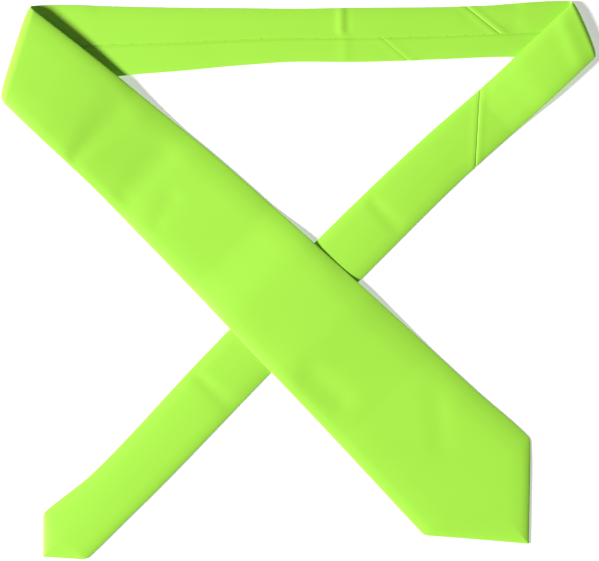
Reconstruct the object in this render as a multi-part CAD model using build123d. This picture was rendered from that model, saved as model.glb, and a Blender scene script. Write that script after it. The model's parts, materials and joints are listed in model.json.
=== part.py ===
from build123d import *
import os
from math import atan2, cos, degrees, hypot, radians, sin

# A necktie lying flat, in millimetres. +Z is up and the tie rests on z = 0.
# The neck band runs across the top, back up. It rolls over at both ends: at the
# left it returns as the wide blade, at the right as the narrow tail, both front
# up, and the blade passes over the tail. Headings are degrees from +X towards +Y.

# Cloth and filling
tie_thickness = 3.2
cloth = 0.45
tipping_cloth = 0.3
label_cloth = 0.3
thread = 0.4
back_slit = 0.6
body_gap = 0.3

# Fold rolls, as gaps between the band and the limb that comes back over it
left_roll_gap = 7.0
right_roll_gap = 2.0

# Fold lines: centre of the roll's axis, heading of the axis, length of the axis
left_fold_centre = (-192.8, 159.7)
left_fold_heading = 72.4
left_fold_length = 63.0
right_fold_centre = (197.3, 175.7)
right_fold_heading = 113.4
right_fold_length = 38.0

# Neck band: stations from left to right, then the widths there
band_left_centre = (-126.7, 168.2)
band_left_width = 49.0
band_middle_centre = (-19.7, 172.2)
band_middle_width = 38.2
band_right_centre = (110.3, 174.7)
band_right_width = 36.6
band_seam_offset = 2.0

# Blade: middle station, then the shoulders of its point, then the point
blade_middle_centre = (-17.6, -2.8)
blade_middle_heading = -46.0
blade_middle_width = 85.8
blade_shoulder_centre = (124.3, -143.1)
blade_shoulder_heading = -47.6
blade_shoulder_width = 100.2
blade_point_length = 53.3

# Tail: stations below the band and below the crossing, then its point
tail_upper_centre = (166.5, 142.7)
tail_upper_heading = 221.7
tail_upper_width = 35.5
tail_middle_centre = (37.6, 24.6)
tail_middle_heading = 223.8
tail_middle_width = 40.9
tail_shoulder_centre = (-164.2, -178.8)
tail_shoulder_heading = 223.2
tail_shoulder_width = 43.9
tail_point_length = 20.6

# How high the limbs ride, and how long they take to come down to the table
blade_lift_at_band_edge = 4.0
tail_lift_at_band_edge = 0.7
blade_landing_length = 62.0
tail_landing_length = 45.0
crossing_ramp_length = 45.0

# Bias seams: the front's line, and where the two back flaps meet the slit
neck_seam_top = (117.3, 193.2)
neck_seam_bottom = (75.3, 155.7)
neck_seam_upper_flap_x = 137.3
neck_seam_lower_flap_x = 61.3
tail_seam_top = (127.9, 133.7)
tail_seam_bottom = (123.5, 78.7)
seam_width = 0.5

# Back of the blade and of the tail
blade_back_opening = 150.0
blade_margin = 8.0
blade_tipping_lap = 13.0
tail_back_opening = 70.0
tail_margin = 5.0
tail_tipping_lap = 8.0
bar_tack_width = 8.0
bar_tack_length = 1.4
hem_stitch_width = 0.6
hem_stitch_depth = 0.25
hem_stitch_ends = 2.4

# Label, then keeper loop, one above the other over the end of the blade's back opening
label_above_opening = 8.0
label_length = 16.0
label_width = 44.0
label_tack = (3.0, 0.6)
label_tack_inset = 2.0
keeper_above_label = 6.0
keeper_width = 12.0
keeper_ease = 5.1
keeper_foot = 5.0
keeper_cloth = 0.6
keeper_gap = 0.6
keeper_overlap = 1.0
keeper_tack = (1.0, 3.0)

# Care label, on the tipping inside the tail's back opening
care_label_below_apex = 26.0
care_label_length = 18.0
care_label_width = 13.0

# Where the interlining's two halves meet in the neck
interlining_join_x = 29.3
interlining_join_width = 3.0

# Construction values
cut_reach = 400.0
cut_depth = 40.0
overrun = 6.0


def unit(heading):
    """Unit vector of a heading."""
    return (cos(radians(heading)), sin(radians(heading)))


def step(point, heading, distance):
    """The point that lies a distance away along a heading."""
    direction = unit(heading)
    return (point[0] + distance * direction[0], point[1] + distance * direction[1])


def heading_between(start, end):
    """Heading of the line from start to end."""
    return degrees(atan2(end[1] - start[1], end[0] - start[0]))


def distance_between(start, end):
    """Length of the line from start to end."""
    return hypot(end[0] - start[0], end[1] - start[1])


def run_distance(origin, heading, point):
    """How far along a run a point lies, counted from the run's origin."""
    direction = unit(heading)
    return (point[0] - origin[0]) * direction[0] + (point[1] - origin[1]) * direction[1]


def meeting_point(start_a, end_a, start_b, end_b):
    """Where the line through start_a and end_a meets the line through start_b and end_b."""
    ax, ay = end_a[0] - start_a[0], end_a[1] - start_a[1]
    bx, by = end_b[0] - start_b[0], end_b[1] - start_b[1]
    share = ((start_b[0] - start_a[0]) * by - (start_b[1] - start_a[1]) * bx) / (ax * by - ay * bx)
    return (start_a[0] + share * ax, start_a[1] + share * ay)


def beside(centre, heading, width, inset=0.0):
    """The left and right edge points of a strip at one station."""
    half = width / 2 - inset
    return step(centre, heading + 90, half), step(centre, heading - 90, half)


def prism(points, low=-cut_depth, high=cut_depth):
    """Upright solid over a plan outline, from one height to another."""
    face = make_face(Polyline(*points, close=True))
    return Pos(0, 0, low) * extrude(face, amount=high - low)


def strip(points, width):
    """Plan outline of a narrow strip that follows a line of points."""
    left, right = [], []
    for index, point in enumerate(points):
        before = points[max(index - 1, 0)]
        after = points[min(index + 1, len(points) - 1)]
        edge_left, edge_right = beside(point, heading_between(before, after), width)
        left.append(edge_left)
        right.append(edge_right)
    return left + right[::-1]


def patch(origin, heading, near, far, left, right):
    """Plan rectangle in a run's own directions: near to far along it, right to left across."""
    start, end = step(origin, heading, near), step(origin, heading, far)
    across = heading + 90
    near_side = [step(start, across, right), step(start, across, left)]
    return near_side + [step(end, across, left), step(end, across, right)]


def ribbon(origin, heading, profile, low, high):
    """Layer of a limb between two depths above its underside, endlessly wide: the
    side profile, a list of (distance along the run, height), carried across the run."""
    lower = [(along, height + low) for along, height in profile]
    upper = [(along, height + high) for along, height in reversed(profile)]
    run = unit(heading)
    plane = Plane(origin=(*origin, 0), x_dir=(*run, 0), z_dir=(run[1], -run[0], 0))
    side = make_face(Polyline(*lower, *upper, close=True))
    return extrude(plane * side, amount=cut_reach, both=True)


def pointed(stations, ends, point, inset=0.0, past_fold=0.0, outward=0.0):
    """Plan outline of a limb from the ends of its fold line to its point, drawn in by an inset.
    Stations are (centre, heading, width); past_fold runs the fold end on, along outward."""
    left, right = [], []
    for centre, heading, width in stations:
        edge_left, edge_right = beside(centre, heading, width, inset)
        left.append(edge_left)
        right.append(edge_right)
    tip = step(point, heading_between(point, stations[-1][0]), inset * 2**0.5)
    start = [ends[1], ends[0]]
    if past_fold:
        start = [ends[1], *[step(end, outward, past_fold) for end in ends[::-1]], ends[0]]
    return [*start, *left, tip, *right[::-1]]


def fold_ends(centre, heading, length, inset=0.0):
    """Both ends of a fold line: the one its heading points to, then the other."""
    half = length / 2 - inset
    return step(centre, heading, half), step(centre, heading + 180, half)


def half_ring(centre, heading, outward, axis_height, inner, outer, length):
    """Half of a tube lying on its side: the roll of a fold, on the outward side of its axis."""
    start = step(centre, heading + 180, length / 2)
    side = unit(outward)
    along = unit(heading)
    plane = Plane(origin=(*start, axis_height), x_dir=(*side, 0), z_dir=(*along, 0))
    ring = Circle(outer) - Circle(inner)
    outer_half = Pos(outer, 0) * Rectangle(2 * outer, 4 * outer)
    return extrude(plane * (ring & outer_half), amount=length)


def save(nodes):
    """Put the origin under the middle of the whole tie and write each node's STEP."""
    os.makedirs("parts", exist_ok=True)
    box = Compound(children=[Compound(shape.solids()) for shape in nodes.values()]).bounding_box()
    middle = box.center()
    print("moved by", round(-middle.X, 3), round(-middle.Y, 3), "lowest", round(box.min.Z, 4))
    print("size", round(box.size.X, 2), round(box.size.Y, 2), round(box.size.Z, 2))
    for name, shape in nodes.items():
        solids = [Pos(-middle.X, -middle.Y, 0) * solid for solid in shape.solids()]
        export_step(solids[0] if len(solids) == 1 else Compound(solids), f"parts/{name}.step")


# Sizes that follow from others
crossing_lift = keeper_gap + keeper_cloth + body_gap
keeper_span = tail_middle_width + keeper_ease
label_near_from_point = blade_back_opening + label_above_opening
keeper_near_from_point = label_near_from_point + label_length + keeper_above_label

# Radii and heights of the two rolls
left_inner = left_roll_gap / 2
left_outer = left_inner + tie_thickness
right_inner = right_roll_gap / 2
right_outer = right_inner + tie_thickness
left_ends = fold_ends(left_fold_centre, left_fold_heading, left_fold_length)
right_ends = fold_ends(right_fold_centre, right_fold_heading, right_fold_length)

# ---------------------------------------------------------------- neck band
band_stations = [
    (band_left_centre, heading_between(band_left_centre, band_middle_centre), band_left_width),
    (band_middle_centre, heading_between(band_left_centre, band_right_centre), band_middle_width),
    (band_right_centre, heading_between(band_middle_centre, band_right_centre), band_right_width),
]


def band_outline(inset=0.0, past_fold=0.0):
    """Plan outline of the band between the two fold lines."""
    upper, lower = [], []
    for centre, heading, width in band_stations:
        edge_upper, edge_lower = beside(centre, heading, width, inset)
        upper.append(edge_upper)
        lower.append(edge_lower)
    left_top, left_bottom = fold_ends(left_fold_centre, left_fold_heading, left_fold_length, inset)
    right_top, right_bottom = fold_ends(right_fold_centre, right_fold_heading, right_fold_length, inset)
    left_out, right_out = left_fold_heading + 90, right_fold_heading - 90
    start, end = [left_bottom, left_top], [right_top, right_bottom]
    if past_fold:
        start = [left_bottom, *[step(point, left_out, past_fold) for point in start], left_top]
        end = [right_top, *[step(point, right_out, past_fold) for point in end], right_bottom]
    return start + upper + end + lower[::-1]


back_line = [step(left_fold_centre, 270, band_seam_offset)]
back_line += [step(station[0], 270, band_seam_offset) for station in band_stations]
back_line += [step(right_fold_centre, 270, band_seam_offset)]
front_top = tie_thickness - cloth

band_solid = prism(band_outline(), 0, tie_thickness)
band_inside = prism(band_outline(cloth, overrun), cloth, front_top)
band_slit = prism(strip(back_line, back_slit), front_top, tie_thickness + overrun)
band_tube = band_solid - band_inside - band_slit

far_left = -cut_reach
seam_slope = heading_between(neck_seam_bottom, neck_seam_top)
front_side = [
    (far_left, cut_reach),
    step(neck_seam_top, seam_slope, cut_reach),
    step(neck_seam_bottom, seam_slope + 180, cut_reach),
    (far_left, -cut_reach),
]


def on_back_line(x):
    """The point of the centre-back slit that has this x."""
    for start, end in zip(back_line[:-1], back_line[1:]):
        if start[0] <= x <= end[0]:
            return (x, start[1] + (end[1] - start[1]) * (x - start[0]) / (end[0] - start[0]))


flap_line = [
    step(neck_seam_top, 90, overrun),
    neck_seam_top,
    on_back_line(neck_seam_upper_flap_x),
    on_back_line(neck_seam_lower_flap_x),
    neck_seam_bottom,
    step(neck_seam_bottom, 270, overrun),
]
flap_top = (neck_seam_top[0], cut_reach)
flap_bottom = (neck_seam_bottom[0], -cut_reach)
flap_side = [(far_left, cut_reach), flap_top, *flap_line[1:-1], flap_bottom, (far_left, -cut_reach)]
blade_side = prism(front_side, -overrun, front_top) + prism(flap_side, front_top, tie_thickness + overrun)

front_seam_line = [
    step(neck_seam_top, seam_slope, overrun),
    step(neck_seam_bottom, seam_slope + 180, overrun),
]
front_seam = prism(strip(front_seam_line, seam_width), -overrun, front_top)
upper_seam = prism(strip([flap_line[0], *flap_line[1:3]], seam_width), front_top, tie_thickness + overrun)
lower_seam = prism(strip([flap_line[3], *flap_line[4:]], seam_width), front_top, tie_thickness + overrun)
neck_seam_cut = front_seam + upper_seam + lower_seam

blade_neck_seam = band_tube & neck_seam_cut
blade_cloth_on_band = (band_tube & blade_side) - neck_seam_cut
neck_cloth_on_band = (band_tube - blade_side) - neck_seam_cut

interlining_plan = prism(band_outline(cloth), cloth, front_top)
join_low = interlining_join_x - interlining_join_width / 2
join_high = interlining_join_x + interlining_join_width / 2
left_of_join = prism(patch((join_low, 0), 180, 0, cut_reach, cut_reach, -cut_reach))
right_of_join = prism(patch((join_high, 0), 0, 0, cut_reach, cut_reach, -cut_reach))
blade_interlining_in_neck = interlining_plan & left_of_join
tail_interlining_in_neck = interlining_plan & right_of_join
interlining_lap = interlining_plan - left_of_join - right_of_join

slip_stitch_in_neck = prism(strip(back_line, thread), front_top, tie_thickness) & band_solid


def roll(centre, heading, outward, inner, outer, length):
    """Cloth and interlining of a fold's roll: a half tube of cloth with the filling inside."""
    whole = half_ring(centre, heading, outward, outer, inner, outer, length)
    filling = half_ring(centre, heading, outward, outer, inner + cloth, outer - cloth, length - 2 * cloth)
    return whole - filling, filling


left_roll_cloth, left_roll_filling = roll(
    left_fold_centre,
    left_fold_heading,
    left_fold_heading + 90,
    left_inner,
    left_outer,
    left_fold_length,
)
right_roll_cloth, right_roll_filling = roll(
    right_fold_centre,
    right_fold_heading,
    right_fold_heading - 90,
    right_inner,
    right_outer,
    right_fold_length,
)

# ---------------------------------------------------------------- wide blade
blade_point = step(blade_shoulder_centre, blade_shoulder_heading, blade_point_length)
tail_point = step(tail_shoulder_centre, tail_shoulder_heading, tail_point_length)
crossing = meeting_point(
    blade_middle_centre, blade_shoulder_centre, tail_middle_centre, tail_shoulder_centre
)
blade_heading = heading_between(left_fold_centre, blade_shoulder_centre)
tail_heading = heading_between(right_fold_centre, tail_shoulder_centre)

blade_stations = [
    (blade_middle_centre, blade_middle_heading, blade_middle_width),
    (blade_shoulder_centre, blade_shoulder_heading, blade_shoulder_width),
]
band_lower_left = beside(*band_stations[0])[1]
band_lower_right = beside(*band_stations[2])[1]
blade_edge_meets_band = meeting_point(
    left_ends[0], beside(*blade_stations[0])[0], left_ends[1], band_lower_left
)
blade_length = run_distance(left_fold_centre, blade_heading, blade_point)
at_fold = abs(run_distance(left_fold_centre, blade_heading, left_ends[0]))
at_band_edge = run_distance(left_fold_centre, blade_heading, blade_edge_meets_band)
at_crossing = run_distance(left_fold_centre, blade_heading, crossing)
half_crossing = tail_middle_width / 2 + body_gap + crossing_lift
fold_underside = left_outer + left_inner
blade_profile = [
    (-at_fold - cut_depth, fold_underside),
    (at_fold, fold_underside),
    (at_band_edge, tie_thickness + blade_lift_at_band_edge),
    (at_band_edge + blade_landing_length, 0),
    (at_crossing - half_crossing - crossing_ramp_length, 0),
    (at_crossing - half_crossing, tie_thickness + crossing_lift),
    (at_crossing + half_crossing, tie_thickness + crossing_lift),
    (blade_length - blade_back_opening, 0),
    (blade_length + cut_depth, 0),
]


def blade_layer(low, high):
    """Layer of the blade between two depths above its underside."""
    return ribbon(left_fold_centre, blade_heading, blade_profile, low, high)


blade_fold = fold_ends(
    step(left_fold_centre, left_fold_heading - 90, body_gap), left_fold_heading, left_fold_length
)
blade_fold_inner = fold_ends(
    step(left_fold_centre, left_fold_heading - 90, body_gap), left_fold_heading, left_fold_length, cloth
)
blade_plan = pointed(blade_stations, blade_fold, blade_point)
blade_inner_plan = pointed(blade_stations, blade_fold_inner, blade_point, cloth)
blade_bore_plan = pointed(
    blade_stations, blade_fold_inner, blade_point, cloth, overrun, left_fold_heading + 90
)

shoulder_from_point = distance_between(blade_shoulder_centre, blade_point)
blade_lower_heading = heading_between(blade_shoulder_centre, blade_middle_centre)
blade_apex = step(blade_shoulder_centre, blade_lower_heading, blade_back_opening - shoulder_from_point)


def opening_plan(apex, shoulder, heading, width, point, margin):
    """Kite where the back flaps part: from the bar tack down to a margin round the point."""
    left, right = beside(shoulder, heading, width, margin)
    tip = step(point, heading_between(point, shoulder), margin * 2**0.5)
    return [apex, left, tip, right]


def bar_tack_plan(apex, heading):
    """Short bar across the end of the closed back seam."""
    half_length, half_width = bar_tack_length / 2, bar_tack_width / 2
    return patch(apex, heading, -half_length, half_length, half_width, -half_width)


blade_opening = opening_plan(
    blade_apex,
    blade_shoulder_centre,
    blade_shoulder_heading,
    blade_shoulder_width,
    blade_point,
    blade_margin,
)
blade_slit_start = step(left_fold_centre, blade_heading + 180, overrun)
blade_slit = prism(strip([blade_slit_start, left_fold_centre, blade_middle_centre, blade_apex], back_slit))
blade_tack_prism = prism(bar_tack_plan(blade_apex, blade_shoulder_heading))
blade_back = blade_layer(-overrun, cloth)
blade_solid = blade_layer(0, tie_thickness) & prism(blade_plan)
blade_inside = blade_layer(cloth, tie_thickness - cloth) & prism(blade_bore_plan)
blade_cloth = blade_solid - blade_inside
blade_cloth -= blade_back & (blade_slit + prism(blade_opening) + blade_tack_prism)
blade_bar_tack = blade_layer(0, cloth) & blade_tack_prism

tipping_end = step(blade_apex, blade_lower_heading, blade_tipping_lap)
tipping_zone = prism(patch(tipping_end, blade_shoulder_heading, 0, cut_reach, cut_reach, -cut_reach))
blade_tipping = blade_layer(cloth, cloth + tipping_cloth) & prism(blade_inner_plan) & tipping_zone
blade_interlining = (blade_layer(cloth, tie_thickness - cloth) & prism(blade_inner_plan)) - blade_tipping


def hem_stitches(opening):
    """Two rows of hem stitches just inside the lower edges of a back opening."""
    outer = [opening[1], opening[2], opening[3]]
    rows = []
    for start, end in zip(outer[:-1], outer[1:]):
        heading = heading_between(start, end)
        first = step(start, heading, hem_stitch_ends)
        last = step(end, heading + 180, hem_stitch_ends)
        row = [step(first, heading - 90, hem_stitch_width), step(last, heading - 90, hem_stitch_width)]
        rows.append(strip(row, hem_stitch_width))
    return prism(rows[0]) + prism(rows[1])


blade_tipping_stitches = blade_layer(cloth - hem_stitch_depth, cloth) & hem_stitches(blade_opening)

slip_end = step(blade_apex, blade_lower_heading, bar_tack_length)
blade_slip_line = [step(left_fold_centre, blade_heading, body_gap), blade_middle_centre, slip_end]
blade_slip_stitch = blade_layer(0, cloth) & prism(strip(blade_slip_line, thread)) & prism(blade_plan)

keeper_far = blade_length - keeper_near_from_point
keeper_near = keeper_far - keeper_width
keeper_half = keeper_span / 2 + keeper_foot
keeper_outer = prism(
    patch(left_fold_centre, blade_heading, keeper_near, keeper_far, keeper_half, -keeper_half)
)
keeper_space = prism(
    patch(
        left_fold_centre,
        blade_heading,
        keeper_near - keeper_overlap,
        keeper_far + keeper_overlap,
        keeper_span / 2,
        -keeper_span / 2,
    )
)
keeper_bottom = -(keeper_gap + keeper_cloth)
keeper_tacks = []
for side in (-1, 1):
    across = side * (keeper_span + keeper_foot) / 2
    along = (keeper_near + keeper_far) / 2
    plan = patch(
        left_fold_centre,
        blade_heading,
        along - keeper_tack[1],
        along + keeper_tack[1],
        across + keeper_tack[0] / 2,
        across - keeper_tack[0] / 2,
    )
    keeper_tacks.append(prism(plan))
keeper_tack_prisms = keeper_tacks[0] + keeper_tacks[1]
keeper_block = blade_layer(keeper_bottom, 0) & keeper_outer
keeper_loop = keeper_block - (blade_layer(-keeper_gap, 0) & keeper_space) - keeper_tack_prisms
keeper_loop_tacks = keeper_block & keeper_tack_prisms

label_far = blade_length - label_near_from_point
label_near = label_far - label_length
label_plan = patch(
    left_fold_centre, blade_heading, label_near, label_far, label_width / 2, -label_width / 2
)


def corner_tacks(origin, heading, near, far, half_width):
    """Small tacks near the four corners of a label."""
    tacks = []
    for along in (near + label_tack_inset, far - label_tack_inset):
        for across in (half_width - label_tack_inset, -half_width + label_tack_inset):
            low, high = across - label_tack[1] / 2, across + label_tack[1] / 2
            plan = patch(origin, heading, along - label_tack[0] / 2, along + label_tack[0] / 2, high, low)
            tacks.append(prism(plan))
    return Compound(tacks)


label_tacks_prism = corner_tacks(left_fold_centre, blade_heading, label_near, label_far, label_width / 2)
label_block = blade_layer(-label_cloth, 0) & prism(label_plan)
maker_label = label_block - label_tacks_prism
maker_label_tacks = label_block & label_tacks_prism

# ---------------------------------------------------------------- tail
tail_stations = [
    (tail_upper_centre, tail_upper_heading, tail_upper_width),
    (tail_middle_centre, tail_middle_heading, tail_middle_width),
    (tail_shoulder_centre, tail_shoulder_heading, tail_shoulder_width),
]
tail_length = run_distance(right_fold_centre, tail_heading, tail_point)
tail_at_fold = abs(run_distance(right_fold_centre, tail_heading, right_ends[0]))
tail_edge_meets_band = meeting_point(
    right_ends[0], beside(*tail_stations[0])[1], right_ends[1], band_lower_right
)
tail_at_band_edge = run_distance(right_fold_centre, tail_heading, tail_edge_meets_band)
tail_profile = [
    (-tail_at_fold - cut_depth, right_outer + right_inner),
    (tail_at_fold, right_outer + right_inner),
    (tail_at_band_edge, tie_thickness + tail_lift_at_band_edge),
    (tail_at_band_edge + tail_landing_length, 0),
    (tail_length + cut_depth, 0),
]


def tail_layer(low, high):
    """Layer of the tail between two depths above its underside."""
    return ribbon(right_fold_centre, tail_heading, tail_profile, low, high)


tail_start = step(right_fold_centre, right_fold_heading + 90, body_gap)
tail_fold = fold_ends(tail_start, right_fold_heading, right_fold_length)[::-1]
tail_fold_inner = fold_ends(tail_start, right_fold_heading, right_fold_length, cloth)[::-1]
tail_plan = pointed(tail_stations, tail_fold, tail_point)
tail_inner_plan = pointed(tail_stations, tail_fold_inner, tail_point, cloth)
tail_bore_plan = pointed(
    tail_stations, tail_fold_inner, tail_point, cloth, overrun, right_fold_heading - 90
)

tail_shoulder_from_point = distance_between(tail_shoulder_centre, tail_point)
tail_lower_heading = heading_between(tail_shoulder_centre, tail_middle_centre)
tail_apex = step(tail_shoulder_centre, tail_lower_heading, tail_back_opening - tail_shoulder_from_point)
tail_opening = opening_plan(
    tail_apex, tail_shoulder_centre, tail_shoulder_heading, tail_shoulder_width, tail_point, tail_margin
)
tail_line = [right_fold_centre, tail_upper_centre, tail_middle_centre]
tail_slit_start = step(right_fold_centre, tail_heading + 180, overrun)
tail_slit = prism(strip([tail_slit_start, *tail_line, tail_apex], back_slit))
tail_tack_prism = prism(bar_tack_plan(tail_apex, tail_shoulder_heading))
tail_back = tail_layer(-overrun, cloth)
tail_solid = tail_layer(0, tie_thickness) & prism(tail_plan)
tail_inside = tail_layer(cloth, tie_thickness - cloth) & prism(tail_bore_plan)
tail_tube = tail_solid - tail_inside
tail_tube -= tail_back & (tail_slit + prism(tail_opening) + tail_tack_prism)
tail_bar_tack = tail_layer(0, cloth) & tail_tack_prism

tail_seam_heading = heading_between(tail_seam_bottom, tail_seam_top)
seam_high = step(tail_seam_top, tail_seam_heading, cut_reach)
seam_low = step(tail_seam_bottom, tail_seam_heading + 180, cut_reach)
fold_side = prism([seam_high, (cut_reach, cut_reach), (cut_reach, -cut_reach), seam_low])
tail_seam_cut = prism(strip([seam_high, seam_low], seam_width))
neck_tail_seam = tail_tube & tail_seam_cut
neck_cloth_on_tail = (tail_tube & fold_side) - tail_seam_cut
tail_cloth = tail_tube - fold_side - tail_seam_cut

tail_tipping_end = step(tail_apex, tail_lower_heading, tail_tipping_lap)
tail_tipping_zone = prism(
    patch(tail_tipping_end, tail_shoulder_heading, 0, cut_reach, cut_reach, -cut_reach)
)
tail_tipping = tail_layer(cloth, cloth + tipping_cloth) & prism(tail_inner_plan) & tail_tipping_zone
tail_interlining = (tail_layer(cloth, tie_thickness - cloth) & prism(tail_inner_plan)) - tail_tipping
tail_tipping_stitches = tail_layer(cloth - hem_stitch_depth, cloth) & hem_stitches(tail_opening)
tail_slip_end = step(tail_apex, tail_lower_heading, bar_tack_length)
tail_slip_line = [*tail_line, tail_slip_end]
tail_slip_stitch = tail_layer(0, cloth) & prism(strip(tail_slip_line, thread)) & prism(tail_plan)
tail_slip_stitch -= tail_seam_cut

care_near = tail_length - tail_back_opening + care_label_below_apex
care_far = care_near + care_label_length
care_half = care_label_width / 2
care_plan = patch(right_fold_centre, tail_heading, care_near, care_far, care_half, -care_half)
care_block = tail_layer(cloth - hem_stitch_depth, cloth) & prism(care_plan)
care_tacks_prism = corner_tacks(right_fold_centre, tail_heading, care_near, care_far, care_half)
care_label = care_block - care_tacks_prism
care_label_tacks = care_block & care_tacks_prism

nodes = {
    "blade_cloth_on_band": blade_cloth_on_band,
    "neck_cloth_on_band": neck_cloth_on_band,
    "blade_neck_seam": blade_neck_seam,
    "blade_interlining_in_neck": blade_interlining_in_neck,
    "tail_interlining_in_neck": tail_interlining_in_neck,
    "interlining_lap": interlining_lap,
    "slip_stitch_in_neck": slip_stitch_in_neck,
    "left_fold_cloth": left_roll_cloth,
    "left_fold_interlining": left_roll_filling,
    "right_fold_cloth": right_roll_cloth,
    "right_fold_interlining": right_roll_filling,
    "blade_cloth": blade_cloth,
    "blade_interlining": blade_interlining,
    "blade_tipping": blade_tipping,
    "blade_tipping_stitches": blade_tipping_stitches,
    "blade_slip_stitch": blade_slip_stitch,
    "blade_bar_tack": blade_bar_tack,
    "keeper_loop": keeper_loop,
    "keeper_loop_tacks": keeper_loop_tacks,
    "maker_label": maker_label,
    "maker_label_tacks": maker_label_tacks,
    "neck_cloth_on_tail": neck_cloth_on_tail,
    "tail_cloth": tail_cloth,
    "neck_tail_seam": neck_tail_seam,
    "tail_interlining": tail_interlining,
    "tail_tipping": tail_tipping,
    "tail_tipping_stitches": tail_tipping_stitches,
    "tail_slip_stitch": tail_slip_stitch,
    "tail_bar_tack": tail_bar_tack,
    "care_label": care_label,
    "care_label_tacks": care_label_tacks,
}
save(nodes)
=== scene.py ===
import json
import math

import bpy
import numpy as np
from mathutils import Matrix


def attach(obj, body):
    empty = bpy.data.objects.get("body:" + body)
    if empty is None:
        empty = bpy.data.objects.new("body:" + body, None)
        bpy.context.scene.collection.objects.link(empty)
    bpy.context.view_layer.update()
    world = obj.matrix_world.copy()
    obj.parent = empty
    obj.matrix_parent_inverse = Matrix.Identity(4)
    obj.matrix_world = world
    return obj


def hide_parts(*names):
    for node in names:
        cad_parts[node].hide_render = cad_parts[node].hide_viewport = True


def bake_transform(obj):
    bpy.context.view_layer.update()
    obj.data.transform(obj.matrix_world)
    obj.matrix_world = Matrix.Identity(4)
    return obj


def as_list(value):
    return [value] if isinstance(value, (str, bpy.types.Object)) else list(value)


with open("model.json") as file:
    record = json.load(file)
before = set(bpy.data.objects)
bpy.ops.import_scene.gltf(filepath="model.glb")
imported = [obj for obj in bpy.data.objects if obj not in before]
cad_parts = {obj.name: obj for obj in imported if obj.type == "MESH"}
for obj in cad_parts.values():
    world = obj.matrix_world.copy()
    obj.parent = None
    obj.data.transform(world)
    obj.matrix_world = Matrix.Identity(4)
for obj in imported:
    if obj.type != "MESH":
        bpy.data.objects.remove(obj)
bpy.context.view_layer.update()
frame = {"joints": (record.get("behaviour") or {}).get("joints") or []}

# A lime satin necktie laid flat in a loose figure. Sizes are in millimetres and
# turn into metres where a mesh is made. The neck lies back up along the top; it
# rolls over at each end and comes back front up, as the wide blade and the tail.
MM = 0.001

# ---------------- camera
# Straight above the tie, far enough for the folds to keep their flat look.
camera_centre = (0.0003, 0.0007)
camera_height = 1.403
view_width = 0.4193
sensor_width = 36.0
sharp_level = 3 * MM

camera_data = bpy.data.cameras.new("above")
camera_data.sensor_width = sensor_width
camera_data.lens = sensor_width * (camera_height - sharp_level) / view_width
camera = bpy.data.objects.new("above", camera_data)
camera.location = (*camera_centre, camera_height)
bpy.context.scene.collection.objects.link(camera)
bpy.context.scene.camera = camera
bpy.context.scene.view_settings.view_transform = "Standard"

# ---------------- table and lamps
# A pale matt table that glows a little, one lamp low on the left and a soft light all
# round.
table_size = 3.0
table_colour = (0.83, 0.83, 0.83, 1)
table_glow = 0.5
key_direction = (-0.80, -0.17, 0.575)
key_distance = 6.0
key_size = 1.6
key_power = 680.0
room_colour = (1.0, 1.0, 1.0, 1)
room_strength = 0.16


def lay_points(name, points, faces, materials=()):
    """Mesh object from points in metres and faces of point numbers, shaded smooth."""
    mesh = bpy.data.meshes.new(name)
    mesh.from_pydata(points.reshape(-1, 3).tolist(), [], faces.tolist())
    mesh.polygons.foreach_set("use_smooth", np.ones(len(mesh.polygons), bool))
    for material in materials:
        mesh.materials.append(material)
    piece = bpy.data.objects.new(name, mesh)
    bpy.context.scene.collection.objects.link(piece)
    return piece


table_finish = bpy.data.materials.new("matt_table")
table_finish.use_nodes = True
table_shader = table_finish.node_tree.nodes["Principled BSDF"]
table_shader.inputs["Base Color"].default_value = table_colour
table_shader.inputs["Roughness"].default_value = 0.9
table_shader.inputs["Specular IOR Level"].default_value = 0.1
table_shader.inputs["Emission Color"].default_value = table_colour
table_shader.inputs["Emission Strength"].default_value = table_glow
table_corner = np.array([[-1, -1, 0], [1, -1, 0], [1, 1, 0], [-1, 1, 0]], float)
table = lay_points("table", table_corner * table_size, np.array([[0, 1, 2, 3]]), [table_finish])

key_data = bpy.data.lights.new("key_lamp", "AREA")
key_data.shape = "DISK"
key_data.size = key_size
key_data.energy = key_power
key_lamp = bpy.data.objects.new("key_lamp", key_data)
key_unit = np.array(key_direction) / np.linalg.norm(key_direction)
key_lamp.location = (key_unit * key_distance).tolist()
key_lamp.rotation_euler = (
    math.acos(key_unit[2]),
    0,
    math.atan2(key_unit[1], key_unit[0]) + math.pi / 2,
)
bpy.context.scene.collection.objects.link(key_lamp)
room = bpy.data.worlds.new("room")
room.use_nodes = True
room.node_tree.nodes["Background"].inputs["Color"].default_value = room_colour
room.node_tree.nodes["Background"].inputs["Strength"].default_value = room_strength
bpy.context.scene.world = room

# ---------------- wide blade, satin
# The shaped front of the tie: one layer of bias-cut satin folded round the
# interlining. Its two back flaps overlap along the middle and part at the bar tack.
tie_thick = 3.2
middle_depth = 2.2
satin_thick = 0.3
edge_reach = 9.0
dome_reach = 22.0
dome_share = 0.4
turn_radius = 0.34
hem_depth = 4.0
hem_share = 0.55
hem_steps = (1, 0.66, 0.33)
flap_tuck = 5.0
flap_dip = 1.4
flap_clear = 0.05
flap_drop = 2 * turn_radius + flap_clear
front_count = 64
flap_count = 30
turn_count = 7
flap_points = len(hem_steps) + turn_count - 1 + flap_count
low_flap_seam = 0.35
low_flap_fade = 8
rest_height = 0.14
thin_ring = 0.02
seam_dive = 0.32
seam_dive_reach = 0.45
turning_middle = 2.6
turning_reach = 2.0
corner_softness = 0.9
tip_half = 0.06
corner_rings = 4.0
twill_angle = math.radians(63)
patch_scale = 22.0

lime = (0.35, 0.75, 0.056, 1)
lime_deep = (0.312, 0.69, 0.048, 1)


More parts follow.
